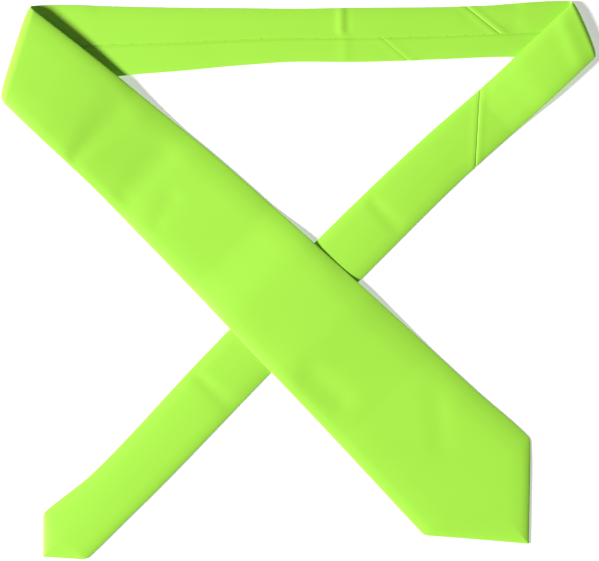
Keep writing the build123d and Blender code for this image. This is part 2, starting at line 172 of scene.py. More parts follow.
def through(at, knots, values):
    """Smooth curve through a few sizes. Each span is a cubic whose end slopes are the
    harmonic mean of the chords on both sides, or nought at a peak, so it never overshoots."""
    knots, values = np.asarray(knots, float), np.asarray(values, float)
    chord = np.diff(values) / np.diff(knots)
    before, after = chord[:-1], chord[1:]
    same = before * after > 0
    mean = np.where(same, 2 * before * after / np.where(same, before + after, 1), 0)
    slope = np.concatenate([chord[:1], mean, chord[-1:]])
    at = np.clip(at, knots[0], knots[-1])
    span = np.clip(np.searchsorted(knots, at, side="right") - 1, 0, len(knots) - 2)
    width = knots[span + 1] - knots[span]
    t = (at - knots[span]) / width
    start, end = values[span], values[span + 1]
    rise = t * t * (3 - 2 * t)
    return (
        start
        + (end - start) * rise
        + width * t * (1 - t) * ((1 - t) * slope[span] - t * slope[span + 1])
    )


def ease(at, start, end):
    """Smooth step: 0 up to start, 1 from end on, a cubic between."""
    t = np.clip((at - start) / (end - start), 0, 1)
    return t * t * (3 - 2 * t)


def creases(x, y, marks):
    """Soft hollows pressed into cloth, in millimetres of depth. Each mark runs from one
    plan point to another and fades as a bell curve of the distance from that line, whose
    reach changes evenly from the first point to the second."""
    depth = np.zeros(np.broadcast(x, y).shape)
    for x0, y0, x1, y1, near, far, mark in marks:
        run = np.hypot(x1 - x0, y1 - y0)
        along = ((x - x0) * (x1 - x0) + (y - y0) * (y1 - y0)) / run
        aside = ((y - y0) * (x1 - x0) - (x - x0) * (y1 - y0)) / run
        past = np.maximum(np.maximum(-along, along - run), 0)
        reach = near + (far - near) * np.clip(along / run, 0, 1)
        depth = depth + mark * np.exp(-(aside**2 + past**2) / reach**2)
    return depth


def limb(stations, rise, front_up, marks=()):
    """Where a limb lies. Stations are (x, y, heading of the line straight across it, half
    width), and distances along it are the chords between them added up. A point is
    (distance, offset across, depth below the front): its plan place is the smooth middle
    line plus the offset along the crossing line, and its height is the underside's rise, a
    function of the distance, plus what is left of the thickness. Marks press into the side
    that faces up and fade towards the other. Gives also the half width and the distances."""
    x, y, turn, half = np.array(stations, float).T
    distance = np.concatenate([[0], np.cumsum(np.hypot(np.diff(x), np.diff(y)))])

    def lie(r, a, n):
        heading = np.radians(through(r, distance, turn))
        plan_x = through(r, distance, x) + a * np.cos(heading)
        plan_y = through(r, distance, y) + a * np.sin(heading)
        level = tie_thick - n if front_up else np.maximum(n, 0)
        level = level - creases(plan_x, plan_y, marks) * np.clip(level / tie_thick, 0, 1)
        return np.stack([plan_x, plan_y, rise(r) + level + 0 * plan_x], -1)

    def half_width(r):
        return through(r, distance, half)

    return lie, half_width, distance


def crown(from_edge):
    """How full the cloth is at a distance from its folded edge, from 0 to 1: mostly a quarter
    of an ellipse that is full at edge_reach, and the rest a parabola full at dome_reach."""
    bend = np.clip(1 - from_edge / edge_reach, 0, 1)
    dome = np.clip(1 - from_edge / dome_reach, 0, 1)
    return (1 - dome_share) * np.sqrt(1 - bend**2) + dome_share * (1 - dome**2)


def section(half, high_end, low_end):
    """Path of the satin round the tie at each ring, as offsets across and depths below the
    front, and the inward direction at each point. It runs from the turned-in end of the high
    flap, over that flap, round the edge, across the front, round the other edge and over the
    low flap to its turned-in end. Points crowd together towards the edges as a cosine does.
    The low flap dips where the high one covers it."""
    half, high_end, low_end = (
        np.asarray(size, float).reshape(-1, 1) for size in (half, high_end, low_end)
    )
    full = crown(half)
    radius = turn_radius * full

    def back(a):
        lift = middle_depth + (tie_thick - middle_depth) * crown(half - np.abs(a))
        hidden = ease(a - high_end, -flap_dip, 0)
        return lift, flap_drop * full * hidden

    def flap(end, side):
        quarter = np.linspace(0, math.pi / 2, flap_count)
        reach = side * half - (end + side * radius)
        across = end + side * radius + reach * np.sin(quarter)
        lift, dip = back(across)
        depth = lift - (dip if side < 0 else 0)
        swing = np.linspace(-math.pi / 2, math.pi / 2, turn_count)
        hem = np.minimum(hem_depth, hem_share * np.abs(reach))
        tuck = end + side * (radius + hem * np.array([hem_steps]))
        tuck_lift, tuck_dip = back(tuck)
        tuck_depth = tuck_lift - (tuck_dip if side < 0 else 0) - 2 * radius
        bend = end + side * radius * (1 - np.cos(swing))
        bend_depth = depth[:, :1] - radius + radius * np.sin(swing)
        across = np.concatenate([tuck, bend[:, :-1], across], 1)
        return across, np.concatenate([tuck_depth, bend_depth[:, :-1], depth], 1)

    high_a, high_n = flap(high_end, 1)
    low_a, low_n = flap(low_end, -1)
    swing = np.linspace(0, math.pi, front_count)[1:-1]
    front_a = half * np.cos(swing)
    front_n = middle_depth * (1 - crown(half - np.abs(front_a)))
    a = np.concatenate([high_a, front_a, low_a[:, ::-1]], 1)
    n = np.concatenate([high_n, front_n, low_n[:, ::-1]], 1)
    run_a, run_n = np.gradient(a, axis=1), np.gradient(n, axis=1)
    length = np.hypot(run_a, run_n) + 1e-9
    return a, n, run_n / length, -run_a / length


def fine_ends(start, end, spacing, fine_start=True, fine_end=True):
    """Ring distances from start to end, evenly spaced, with one more ring just inside an
    end that meets another piece, so that the shading runs on across the join."""
    count = max(int(round(abs(end - start) / spacing)), 2)
    rings = np.linspace(start, end, count + 1)
    sign = 1 if end > start else -1
    first = [start + sign * thin_ring] if fine_start else []
    last = [end - sign * thin_ring] if fine_end else []
    return np.concatenate([rings[:1], first, rings[1:-1], last, rings[-1:]])


def close_tube(name, outer, inner, outer_uv, materials):
    """Closed mesh of a layer of cloth. Outer and inner are (rings, points, 3) in millimetres:
    each ring is the outer path and back along the inner path, rings are joined in order, and
    both ends are closed across the thickness with a sharp edge. The cloth coordinates give
    the UV map, in metres, the same on both faces. Faces are turned to point outwards."""
    rings, count = outer.shape[:2]
    points = np.concatenate([outer, inner[:, ::-1]], 1) * MM
    size = 2 * count
    ring, spot = np.meshgrid(np.arange(rings - 1), np.arange(size), indexing="ij")
    after = (spot + 1) % size
    here, on = ring * size, (ring + 1) * size
    sides = np.stack([here + spot, here + after, on + after, on + spot], -1).reshape(-1, 4)
    j = np.arange(count - 1)
    cap = np.stack([j, size - 1 - j, size - 2 - j, j + 1], -1)
    last = cap[:, ::-1] + (rings - 1) * size
    faces = np.concatenate([sides, cap, last])
    flat = points.reshape(-1, 3)
    a, b, c, d = (flat[faces[:, k]] for k in range(4))
    volume = (np.cross(a, b) * c).sum() + (np.cross(a, c) * d).sum()
    if volume < 0:
        faces = faces[:, ::-1]
    piece = lay_points(name, points, faces, materials)
    mesh = piece.data
    edges = np.empty(len(mesh.edges) * 2, np.int32)
    mesh.edges.foreach_get("vertices", edges)
    on_ring = edges.reshape(-1, 2) // size
    sharp = (on_ring == 0).all(1) | (on_ring == rings - 1).all(1)
    mesh.attributes.new("sharp_edge", "BOOLEAN", "EDGE").data.foreach_set("value", sharp)
    uv = np.concatenate([outer_uv, outer_uv[:, ::-1]], 1).reshape(-1, 2) * MM
    corner = np.empty(len(mesh.loops), np.int32)
    mesh.loops.foreach_get("vertex_index", corner)
    mesh.uv_layers.new(name="cloth").data.foreach_set("uv", uv[corner].ravel().astype(np.float32))
    return piece


def cloth_uv(a, n, r):
    """Cloth coordinates: length round the path from the middle of the front, and the
    distance along the run."""
    step = np.hypot(np.diff(a, axis=1), np.diff(n, axis=1))
    girth = np.concatenate([np.zeros((len(a), 1)), np.cumsum(step, 1)], 1)
    centre = girth[:, girth.shape[1] // 2][:, None]
    return np.stack([girth - centre, r + 0 * girth], -1)


def flat_cut(a, n, r):
    """Flat size of a cloth from its rings: (widest girth, length along the middle) and the
    area, the girth summed along the run. In metres."""
    girth = np.hypot(np.diff(a, axis=1), np.diff(n, axis=1)).sum(1)
    length = np.abs(np.diff(r[:, a.shape[1] // 2]))
    area = ((girth[1:] + girth[:-1]) / 2 * length).sum()
    return (girth.max() * MM, length.sum() * MM), area * MM * MM


def satin_piece(name, lie, rings, half_width, high_end, low_end, finish, seams=()):
    """A length of folded satin on a limb, with the flat size and area that it was cut to.
    Each seam is (whether it is at the last ring, slope, puff): that end runs along a straight
    bias line of the flat cloth, so its distance changes by the slope times the length round
    the path, and the rings in between fan out evenly. The cloth dives into the seam and
    swells beside it over the pressed-open turnings, less so on the low flap."""
    middle = rings[:, None]
    half = half_width(middle)
    a, n, in_a, in_n = section(half, high_end, low_end)
    around = cloth_uv(a, n, middle)[..., 0]
    r, press = middle + 0 * a, 0 * a
    for at_last, slope, puff in seams:
        near, far = (middle[-1], middle[0]) if at_last else (middle[0], middle[-1])
        r = r + slope * around * (middle - far) / (near - far)
        aside = np.abs(r - near - slope * around) / math.hypot(1, slope)
        press = press + seam_dive * np.exp(-((aside / seam_dive_reach) ** 2))
        press = press - puff * np.exp(-(((aside - turning_middle) / turning_reach) ** 2))
    low_point = np.arange(a.shape[1]) - (a.shape[1] - flap_points)
    press = press * (1 - (1 - low_flap_seam) * ease(low_point, 0, low_flap_fade))
    a = a * half_width(r) / half
    a, n = a + in_a * press, n + in_n * press
    thick = satin_thick * np.minimum(half / 2, 1)
    outer, inner = lie(r, a, n), lie(r, a + in_a * thick, n + in_n * thick)
    piece = close_tube(name, outer, inner, cloth_uv(a, n, r), [finish])
    flat, area = flat_cut(a, n, r)
    return piece, flat, min(area, flat[0] * flat[1])


def new_finish(name):
    """An empty finish: the material, its node tree and its shader."""
    finish = bpy.data.materials.new(name)
    finish.use_nodes = True
    return finish, finish.node_tree, finish.node_tree.nodes["Principled BSDF"]


def add_node(tree, kind, sizes, sources):
    """A shader node with its input sizes, and its links as {input: (node, output)}."""
    added = tree.nodes.new("ShaderNode" + kind)
    for key, size in sizes.items():
        added.inputs[key].default_value = size
    for key, (node, output) in sources.items():
        tree.links.new(node.outputs[output], added.inputs[key])
    return added


def dye(tree, shader, first, second, share, bump):
    """Gives a finish its colour, two shades mixed by a share, and its bump."""
    mix = tree.nodes.new("ShaderNodeMix")
    mix.data_type = "RGBA"
    mix.inputs["A"].default_value = first
    mix.inputs["B"].default_value = second
    tree.links.new(share, mix.inputs["Factor"])
    tree.links.new(mix.outputs["Result"], shader.inputs["Base Color"])
    tree.links.new(bump.outputs["Normal"], shader.inputs["Normal"])


def woven(name, colour, second, pitch, twill_depth, slub, tone, roughness, sheen):
    """Woven cloth. Slanting ribs of the weave come from a wave along one diagonal of the
    cloth coordinates, slubs and slow changes of tone from two noises, and all of it is
    bump and a slight mix between two dye shades."""
    finish, tree, shader = new_finish(name)
    where = tree.nodes.new("ShaderNodeTexCoord")
    on_cloth = {"Vector": (where, "UV")}
    turn = add_node(tree, "Mapping", {"Rotation": (0, 0, twill_angle)}, on_cloth)
    wave = {"Scale": 2 * math.pi / (20 * pitch * MM), "Distortion": 0.6, "Detail": 1.0}
    ribs = add_node(tree, "TexWave", wave, {"Vector": (turn, "Vector")})
    threads = add_node(tree, "TexNoise", {"Scale": slub, "Detail": 3.0}, on_cloth)
    slow = {"Scale": patch_scale, "Detail": 2.0}
    patches = add_node(tree, "TexNoise", slow, {"Vector": (where, "Object")})
    weight = add_node(tree, "Math", {1: 1 - tone}, {0: (ribs, "Fac")})
    weight.operation = "MULTIPLY"
    sources = {0: (patches, "Fac"), 2: (weight, "Value")}
    blend = add_node(tree, "Math", {1: tone}, sources)
    blend.operation = "MULTIPLY_ADD"
    bump = {"Strength": 0.35, "Distance": twill_depth * MM}
    rib_bump = add_node(tree, "Bump", bump, {"Height": (ribs, "Fac")})
    bump["Strength"] = 0.5
    sources = {"Height": (threads, "Fac"), "Normal": (rib_bump, "Normal")}
    slub_bump = add_node(tree, "Bump", bump, sources)
    dye(tree, shader, colour, second, blend.outputs["Value"], slub_bump)
    shader.inputs["Roughness"].default_value = roughness
    shader.inputs["Specular IOR Level"].default_value = 0.3
    shader.inputs["Sheen Weight"].default_value = sheen
    shader.inputs["Sheen Roughness"].default_value = 0.4
    return finish


lime_satin = woven("lime_satin", lime, lime_deep, 0.45, 0.03, 900.0, 0.6, 0.55, 0.05)

left_joint, right_joint = frame["joints"]
left_centre = np.array(left_joint["pos_m"][:2]) / MM
left_outer = left_joint["pos_m"][2] / MM
left_axis = -np.array(left_joint["axis"][:2])
left_heading = math.degrees(math.atan2(left_axis[1], left_axis[0]))
left_shifts, left_halves = (2.95, -4.35), (32.5, 34.1)
blade_start = left_centre + left_shifts[1] * left_axis
blade_stations = [
    (*blade_start, left_heading, left_halves[1]),
    (-134.1, 104.2, 56.0, 35.2),
    (-82.1, 57.3, 48.0, 38.7),
    (-38.6, 15.9, 45.2, 41.1),
    (47.4, -67.8, 43.6, 45.7),
    (90.0, -110.0, 42.8, 48.1),
    (125.0, -144.1, 42.4, 50.4),
    (161.1, -183.9, 42.4, 50.4),
]
blade_wide = blade_stations[-2][3]
blade_opening = 150.0
blade_margin = 8.0
slant_width = 1.45
seam_at_fold = -2.0
blade_seam_fade = 120
blade_marks = [
    (-157.0, 87.0, -128.0, 118.0, 5, 12, 0.8),
    (-122.0, 62.0, -97.0, 90.0, 8, 11, 0.65),
    (-99.0, 43.0, -90.0, 57.0, 6, 7, 0.35),
    (9.0, -67.0, 28.0, -83.0, 10, 9, 0.7),
    (96.0, -78.0, 99.0, -112.0, 8, 8, 0.3),
    (-112.0, 130.0, 30.0, 14.0, 9, 9, 0.7),
    (45.0, 6.0, 168.0, -104.0, 17, 15, 1.7),
]


def blade_rise(r):
    """Height of the blade's underside: over the neck at the fold, down to the table, up
    over the tail where they cross, and down again."""
    along = [-1, 0, 30, 55, 80, 105, 130, 191, 237, 281, 311, 341, 356, 492]
    height = [10.2, 10.2, 9.2, 7.2, 4.2, 1.4, 0, 0, 3.2, 3.2, 1.7, 0.4, 0, 0]
    return np.maximum(through(r, along, height), rest_height)


def pointed(half, r, shoulder, length, width):
    """Half width with the point on: the smaller of the side's half width and the straight
    taper to the tip, blended so that the corner is slightly round."""
    taper = np.maximum(length - r, 0) * width / (length - shoulder)
    rounding = corner_softness * np.log1p(np.exp(-np.abs(half - taper) / corner_softness))
    return np.maximum(np.minimum(half, taper) - rounding * taper / width, tip_half)


def opening(r, apex, shoulder, length, width, margin):
    """Half width of the gap between the back flaps: opens in a straight V from the bar
    tack, and closes along the margin that is turned in round the point, which is wider
    when it is measured straight across the tie."""
    reach = width - margin
    widening = (r - apex) / (shoulder - margin / 2 - apex) * reach
    closing = np.maximum(length - r, 0) * width / (length - shoulder) - margin * slant_width
    return np.maximum(np.minimum(widening, closing), 0)


blade_lie, blade_side_half, blade_at = limb(blade_stations, blade_rise, True, blade_marks)
blade_shoulder, blade_length = blade_at[-2:]
blade_apex = blade_length - blade_opening
blade_rings = np.concatenate(
    [
        fine_ends(0, blade_shoulder - corner_rings, 2.5, True, False)[:-1],
        np.linspace(blade_shoulder - corner_rings, blade_shoulder + corner_rings, 10)[:-1],
        np.linspace(blade_shoulder + corner_rings, blade_length - corner_rings, 26)[:-1],
        blade_length - corner_rings * np.linspace(1, 0, 9) ** 1.5,
    ]
)


def blade_half(r):
    """Half width of the blade, point and all."""
    return pointed(blade_side_half(r), r, blade_shoulder, blade_length, blade_wide)


def flap_ends(r, apex, gap, seam_start, seam_fade):
    """Where the two back flaps end, across the tie: the high one lies over the low one by
    flap_tuck along the closed seam, and both draw back by the gap below the bar tack."""
    seam = seam_start * (1 - ease(r, 0, seam_fade))
    tuck = flap_tuck * (1 - ease(r, apex - 12, apex - 2))
    return seam + gap + flap_clear, seam + tuck - gap - flap_clear


blade_gap = opening(
    blade_rings, blade_apex, blade_shoulder, blade_length, blade_wide, blade_margin
)
blade_high, blade_low = flap_ends(
    blade_rings, blade_apex, blade_gap, seam_at_fold, blade_seam_fade
)
blade_satin, blade_flat, blade_area = satin_piece(
    "blade_satin", blade_lie, blade_rings, blade_half, blade_high, blade_low, lime_satin
)
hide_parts("blade_cloth")
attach(blade_satin, "wide_blade")

# ---------------- wide blade, interlining
# Brushed off-white wool cut to the blade's shape, loose between the satin's front and
# its back flaps, and pressed thin where the flaps overlap.
wool = (0.78, 0.74, 0.66, 1)
wool_shade = (0.70, 0.66, 0.57, 1)
wool_inset = 4.2
wool_front = 0.36
wool_back = 1.3
wool_press = 0.85
wool_least = 0.12
layer_count = 28
seam_press_reach = 9.0


def layer_piece(name, lie, rings, half, inset, far, finish, near=None, thick=0.2, press=0.0):
    """A flat layer of cloth inside the tie as a closed mesh, with its cut size and area.
    Its far face lies at a depth inside the back's crown, pressed in along the closed seam by
    a bell curve. Its near face is at a depth inside the front's crown or a thickness away."""
    outline = np.maximum(np.asarray(half, float).reshape(-1, 1) - inset, tip_half)
    a = outline * np.cos(np.linspace(0, math.pi, layer_count))
    from_edge = outline + inset - np.abs(a)
    back = middle_depth + (tie_thick - middle_depth) * crown(from_edge) - far
    back = back - np.reshape(press, (-1, 1)) * np.exp(-((a / seam_press_reach) ** 2))
    if near is None:
        front = back - thick
    else:
        front = np.minimum(middle_depth * (1 - crown(from_edge)) + near, back - wool_least)
    r = rings[:, None]
    uv = np.stack([a, r + 0 * a], -1)
    piece = close_tube(name, lie(r, a, back), lie(r, a, front), uv, [finish])
    flat, area = flat_cut(a, back, r + 0 * a)
    return piece, flat, min(area, flat[0] * flat[1])


def seam_press(r, apex):
    """How far the filling is pressed in: all along the closed seam, fading to nought at
    the bar tack."""
    return wool_press * (1 - ease(r, apex - 20, apex))


def wool_piece(name, lie, rings, half, press):
    """A length of interlining, filling most of the room between the front and the back."""
    return layer_piece(
        name, lie, rings, half, wool_inset, wool_back, wool_cloth, near=wool_front, press=press
    )


wool_cloth = woven("brushed_wool", wool, wool_shade, 0.8, 0.12, 260.0, 0.8, 0.95, 0.25)
wool_rings = fine_ends(0, blade_length - 13, 4.0)
blade_wool, wool_flat, wool_area = wool_piece(
    "blade_wool", blade_lie, wool_rings, blade_half(wool_rings), seam_press(wool_rings, blade_apex)
)
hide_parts("blade_interlining")
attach(blade_wool, "wide_blade")

# ---------------- wide blade, lining
# Thin lime tipping that fills the gap between the back flaps at the point, caught down
# by hand along the turned-in edges.
lining_lap = 13.0
lining_inset = 4.4
lining_depth = 1.0
lining_end = 6.5
lining_colour = (0.36, 0.70, 0.10, 1)
lining_shade = (0.32, 0.64, 0.085, 1)
thread_colour = (0.42, 0.80, 0.12, 1)
thread_radius = 0.16
fine_thread = 0.13
hem_pitch = 4.2
hem_slant = 1.2
hem_bites = 0.7, 0.8
stitch_bury = 0.05
stitch_sides = 6
stitch_profile = np.array([0.35, 0.9, 1.0, 0.9, 0.35])


def spun(name, colour, lightness):
    """Sewing thread: close slanting rings along it from a wave, as bump and a faint tone."""
    finish, tree, shader = new_finish(name)
    where = tree.nodes.new("ShaderNodeTexCoord")
    wave = {"Scale": 900.0, "Distortion": 1.5}
    ply = add_node(tree, "TexWave", wave, {"Vector": (where, "Object")})
    ply.bands_direction = "DIAGONAL"
    second = tuple(min(c * lightness, 1) for c in colour[:3]) + (1,)
    sizes = {"Strength": 0.4, "Distance": 0.05 * MM}
    bump = add_node(tree, "Bump", sizes, {"Height": (ply, "Fac")})
    dye(tree, shader, colour, second, ply.outputs["Fac"], bump)
    shader.inputs["Roughness"].default_value = 0.5
    shader.inputs["Sheen Weight"].default_value = 0.2
    return finish


def sew(name, starts, ends, arch, finish, radius=thread_radius):
    """Stitches as short arched threads. Each is five rings of six points along the straight
    line from start to end plus the arch times a parabola, thinner at both tips."""
    run = ends - starts
    t = np.linspace(0, 1, len(stitch_profile))
    arch = np.broadcast_to(arch, starts.shape)
    bow = (4 * t * (1 - t))[:, None]
    centre = starts[:, None] + run[:, None] * t[:, None] + arch[:, None] * bow
    side = np.cross(run, arch)
    side = side / np.linalg.norm(side, axis=1, keepdims=True)
    up = np.cross(side, run / np.linalg.norm(run, axis=1, keepdims=True))
    turn = np.arange(stitch_sides) * 2 * math.pi / stitch_sides
    ring = np.cos(turn)[:, None] * side[:, None] + np.sin(turn)[:, None] * up[:, None]
    points = centre[:, :, None] + radius * stitch_profile[None, :, None, None] * ring[:, None]
    rings = len(stitch_profile)
    i, j = np.meshgrid(np.arange(rings - 1), np.arange(stitch_sides), indexing="ij")
    k = (j + 1) % stitch_sides
    quad = np.stack([i, i, i + 1, i + 1], -1) * stitch_sides + np.stack([j, k, k, j], -1)
    quad = quad.reshape(-1, 4)
    fan = np.array([[0, 3, 2, 1], [0, 5, 4, 3]])
    quad = np.concatenate([quad, fan, fan[:, ::-1] + (rings - 1) * stitch_sides])
    count = len(starts)
    faces = quad[None] + (np.arange(count) * rings * stitch_sides)[:, None, None]
    piece = lay_points(name, points * MM, faces.reshape(-1, 4), [finish])
    return turn_outward(piece)


def turn_outward(piece):
    """Flips a closed mesh whose signed volume is negative."""
    piece.data.calc_loop_triangles()
    tri = np.empty(len(piece.data.loop_triangles) * 3, np.int32)
    piece.data.loop_triangles.foreach_get("vertices", tri)
    co = np.empty(len(piece.data.vertices) * 3, np.float32)
    piece.data.vertices.foreach_get("co", co)
    a, b, c = np.moveaxis(co.reshape(-1, 3)[tri.reshape(-1, 3)], 1, 0)
    if (np.cross(a, b) * c).sum() < 0:
        piece.data.flip_normals()
    return piece


def sewn(piece, node, body):
    """The calls that a row of stitches needs to stand for its CAD node."""
    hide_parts(node)
    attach(piece, body)


thread = spun("lime_thread", thread_colour, 1.15)
lining_cloth = woven("lime_lining", lining_colour, lining_shade, 0.3, 0.02, 1200.0, 0.5, 0.4, 0.1)
lining_rings = np.linspace(blade_apex - lining_lap, blade_length - lining_end, 70)
blade_lining, lining_flat, lining_area = layer_piece(
    "blade_lining",
    blade_lie,
    lining_rings,
    blade_half(lining_rings),
    lining_inset,
    lining_depth,
    lining_cloth,
)
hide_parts("blade_tipping")
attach(blade_lining, "wide_blade")


def hem_row(name, lie, apex, end, gap_at):
    """Catch stitches along both edges of the back opening, from the flap to the lining."""
    r = np.tile(np.arange(apex + 4, end, hem_pitch), 2)
    side = np.repeat([1.0, -1.0], len(r) // 2)
    gap = gap_at(r)
    on_flap = np.full(len(r), tie_thick - stitch_bury)
    on_lining = np.full(len(r), tie_thick - lining_depth + stitch_bury)
    starts = lie(r, side * (gap + hem_bites[0]), on_flap)
    ends = lie(r + hem_slant, side * (gap - hem_bites[1]), on_lining)
    return sew(name, starts, ends, np.array([0, 0, -0.05]), thread, fine_thread)


def blade_gap_at(r):
    """Half width of the blade's back opening."""
    return opening(r, blade_apex, blade_shoulder, blade_length, blade_wide, blade_margin)


blade_hem = hem_row(
    "blade_lining_stitches", blade_lie, blade_apex, blade_length - 14, blade_gap_at
)
sewn(blade_hem, "blade_tipping_stitches", "wide_blade")

# ---------------- wide blade, closing stitches
# One long hand-sewn thread closes the back: small slip stitches catch the upper flap's
# folded edge to the flap below, and a satin-stitched bar tack locks the end.
slip_pitch = 13.0
slip_length = 2.0
slip_bites = 0.35, 0.75
slip_bury = 0.12, 0.68
slip_arch = 0.1
buried_thread = 0.12
tack_width = 8.0
tack_height = 1.4
tack_bars = 17


def slip_row(name, lie, first, last, seam_at, on_top, finish):
    """Slip stitches along a closed seam, each a short slanting arch over the folded edge."""
    r = np.arange(first, last, slip_pitch)
    high, low = (np.full(len(r), tie_thick - bury) for bury in slip_bury)
    starts = lie(r, seam_at(r) + slip_bites[0], high)
    ends = lie(r + slip_length, seam_at(r) - slip_bites[1], low)
    arch = np.array([0, 0, slip_arch if on_top else -slip_arch])
    return sew(name, starts, ends, arch, finish, buried_thread)


def bar_tack(name, lie, apex, finish):
    """A bar tack: short threads side by side across three long ones."""
    across = np.linspace(-tack_width / 2, tack_width / 2, tack_bars)
    r = np.full(tack_bars, apex)
    depth = np.full(tack_bars, tie_thick - 0.08)
    starts = lie(r - tack_height / 2, across, depth)
    ends = lie(r + tack_height / 2, across + 0.25, depth)
    bars = np.array([-0.4, 0.0, 0.4])
    base = np.full(len(bars), tie_thick - 0.12)
    starts = np.concatenate([starts, lie(apex + bars, np.full(3, -tack_width / 2), base)])
    ends = np.concatenate([ends, lie(apex + bars, np.full(3, tack_width / 2), base)])
    return sew(name, starts, ends, np.array([0, 0, -0.06]), finish)


def blade_seam_at(r):
    """Offset of the blade's closed seam from its middle line."""
    return seam_at_fold * (1 - ease(r, 0, blade_seam_fade))


blade_slip = slip_row(
    "blade_closing_stitches", blade_lie, 6, blade_apex - 4, blade_seam_at, False, thread
)
sewn(blade_slip, "blade_slip_stitch", "wide_blade")
blade_tack = bar_tack("blade_end_tack", blade_lie, blade_apex, thread)
sewn(blade_tack, "blade_bar_tack", "wide_blade")

# ---------------- keeper loop and blank label
# A folded band of the same satin across the back holds the tail; both ends are tacked
# down. Below it a blank woven label is caught at its four corners.
keeper_near, keeper_far = blade_length - 192.0, blade_length - 180.0
keeper_half_span = 23.0
keeper_foot = 5.0
keeper_gap = 0.6
tack_half = 1.3
keeper_thick = 0.55
label_near, label_far = blade_length - 174.0, blade_length - 158.0
label_half = 22.0
label_thick = 0.25
label_colour = (0.80, 0.79, 0.74, 1)
label_shade = (0.70, 0.70, 0.66, 1)
label_thread_colour = (0.66, 0.66, 0.62, 1)


def strap(name, lie, near, far, half, depth_at, thick, finish, rings=15, count=61):
    """A flat strip across a limb: its inner face follows a depth as a function of the offset,
    its outer face is a thickness further out, and its long edges are slightly rounded."""
    a = np.linspace(-half, half, count)[None] + np.zeros((rings, 1))
    r = np.linspace(near, far, rings)[:, None]
    rounding = np.sqrt(np.maximum(1 - np.abs(np.linspace(-1, 1, rings)) ** 8, 0.05))[:, None]
    inner = depth_at(a)
    outer = inner + thick * rounding
    uv = np.stack([a, r + 0 * a], -1)
    piece = close_tube(name, lie(r, a, outer), lie(r, a, inner), uv, [finish])
    return piece


def keeper_depth(a):
    """Depth of the keeper's inner face: flat on the blade at its feet, lifted between them."""
    lift = keeper_gap * (1 - ease(np.abs(a), keeper_half_span - 1.5, keeper_half_span))
    return tie_thick + 0.03 + lift


keeper = strap(
    "keeper",
    blade_lie,
    keeper_near,
    keeper_far,
    keeper_half_span + keeper_foot,
    keeper_depth,
    keeper_thick,
    lime_satin,
)
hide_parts("keeper_loop")
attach(keeper, "wide_blade")


def edge_tacks(name, lie, spots, along, depth, finish):
    """Pairs of short threads at a few spots, each (distance, offset), along or across."""
    spots = np.array([(r + d * along[1], a + d * along[0]) for r, a in spots for d in (-0.5, 0.5)])
    r, a = spots.T
    run_r, run_a = along[0] * tack_half, along[1] * tack_half
    starts = lie(r - run_r, a - run_a, np.full(len(r), depth))
    ends = lie(r + run_r, a + run_a, np.full(len(r), depth))
    return sew(name, starts, ends, np.array([0, 0, -0.08]), finish)


keeper_middle = (keeper_near + keeper_far) / 2
keeper_spots = [
    (keeper_middle + step, side * (keeper_half_span + keeper_foot / 2))
    for side in (-1, 1)
    for step in (-1.6, 1.6)
]
keeper_tacks = edge_tacks(
    "keeper_tacks", blade_lie, keeper_spots, (1, 0), tie_thick + keeper_thick + 0.02, thread
)
sewn(keeper_tacks, "keeper_loop_tacks", "wide_blade")

label_cloth = woven("label_weave", label_colour, label_shade, 0.5, 0.03, 1500.0, 0.3, 0.6, 0.05)
label_thread = spun("label_thread", label_thread_colour, 1.2)


def lying_on_back(a):
    """Depth of something that lies on the closed back."""
    return tie_thick + 0.03 + 0 * a


def add_label(name, node, body, under, lie, span, half, depth_at, thick, margins, up, **more):
    """A blank label across a limb, caught at its corners by short threads at a depth."""
    near, far = span
    label = strap(name, lie, near, far, half, depth_at, thick, label_cloth, **more)
    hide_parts(node)
    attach(label, body)
    along, aside = margins
    spots = [(r, side * (half - aside)) for r in (near + along, far - along) for side in (-1, 1)]
    tacks = edge_tacks(name + "_tacks", lie, spots, (0, 1), up, label_thread)
    sewn(tacks, node + "_tacks", body)


add_label(
    "blank_label",
    "maker_label",
    "wide_blade",
    "blade_satin",
    blade_lie,
    (label_near, label_far),
    label_half,
    lying_on_back,
    label_thick,
    (1.2, 1.6),
    tie_thick + label_thick + 0.03,
)

# ---------------- rolls at the two folds
# Where the tie turns back over the neck it makes a soft open roll, wide at the left under
# the blade and nearly flat at the right under the tail. Satin and wool are shaped to its half turn.
right_centre = np.array(right_joint["pos_m"][:2]) / MM
right_outer = right_joint["pos_m"][2] / MM
right_axis = np.array(right_joint["axis"][:2])
right_heading = math.degrees(math.atan2(right_axis[1], right_axis[0]))
right_shifts, right_halves = (1.95, -1.25), (20.6, 20.5)
band_seam_offset = seam_at_fold
thin_turn = 0.002
roll_rings = np.linspace(0, math.pi, 29)
roll_rings = np.concatenate(
    [[0, thin_turn], roll_rings[1:-1], [math.pi - thin_turn, math.pi]]
)


def roll(centre, heading, outward, outer, shifts):
    """Where a roll lies. A point is (angle round the roll from 0 below to pi above, offset
    along the fold line, depth below the front): half a turn round an axis at the roll's own
    radius above the table, shifting along the fold as the tie's edges do."""
    along = np.array([math.cos(math.radians(heading)), math.sin(math.radians(heading))])
    out = np.array([math.cos(math.radians(outward)), math.sin(math.radians(outward))])

    def lie(r, a, n):
        shift = a + shifts[0] + (shifts[1] - shifts[0]) * r / math.pi
        reach = outer - n
        plan = centre + shift[..., None] * along + (reach * np.sin(r))[..., None] * out
        return np.concatenate([plan, (outer - reach * np.cos(r))[..., None]], -1)

    return lie


